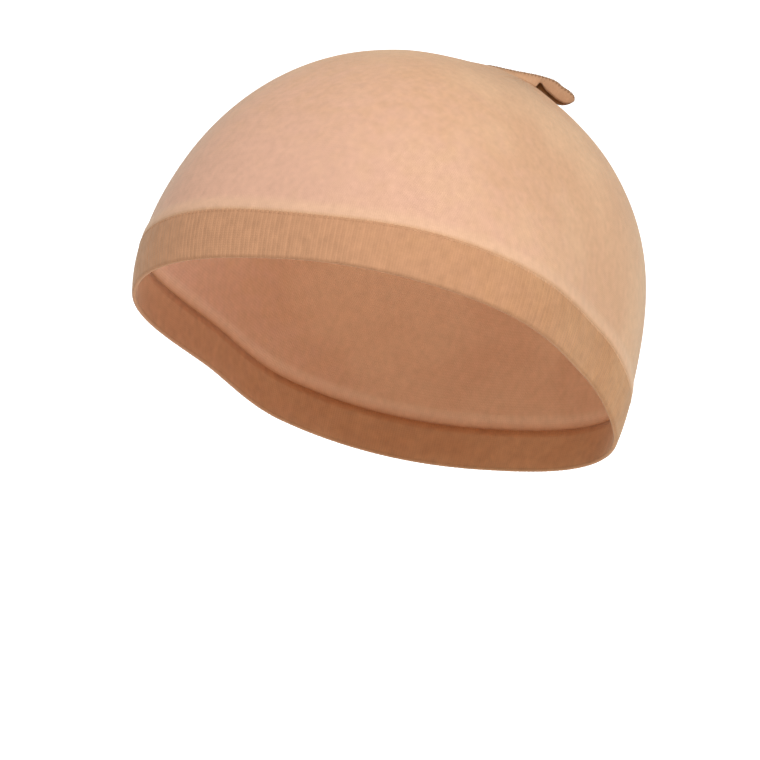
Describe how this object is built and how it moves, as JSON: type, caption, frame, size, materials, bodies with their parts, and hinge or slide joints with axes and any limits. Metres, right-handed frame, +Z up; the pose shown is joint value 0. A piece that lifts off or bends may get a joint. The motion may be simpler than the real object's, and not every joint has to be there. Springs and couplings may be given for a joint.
{
  "type": "wig cap",
  "caption": "Close-fitting knitted stocking cap with a doubled lower band and a sewn, gathered closed toe, shaped as it is when worn.",
  "frame": {"origin": "inside of the crown's top, right above the middle of the head's widest level, where the cap sits on the head", "axes": "+Z up, -Y towards the forehead, +X towards the wearer's left side"},
  "size_m": [0.1592, 0.1868, 0.1458],
  "materials": {
    "knit": "fine nylon and elastane stocking knit, matt with a soft sheen, honey beige",
    "welt": "the same knit doubled in an elastic ribbed welt, matt, darker tan",
    "seam": "gathered and overlocked knit, matt, brown tan"
  },
  "bodies": {
    "root": {"crown": "knit", "welt_band": "welt", "toe_seam": "seam"}
  },
  "joints": []
}
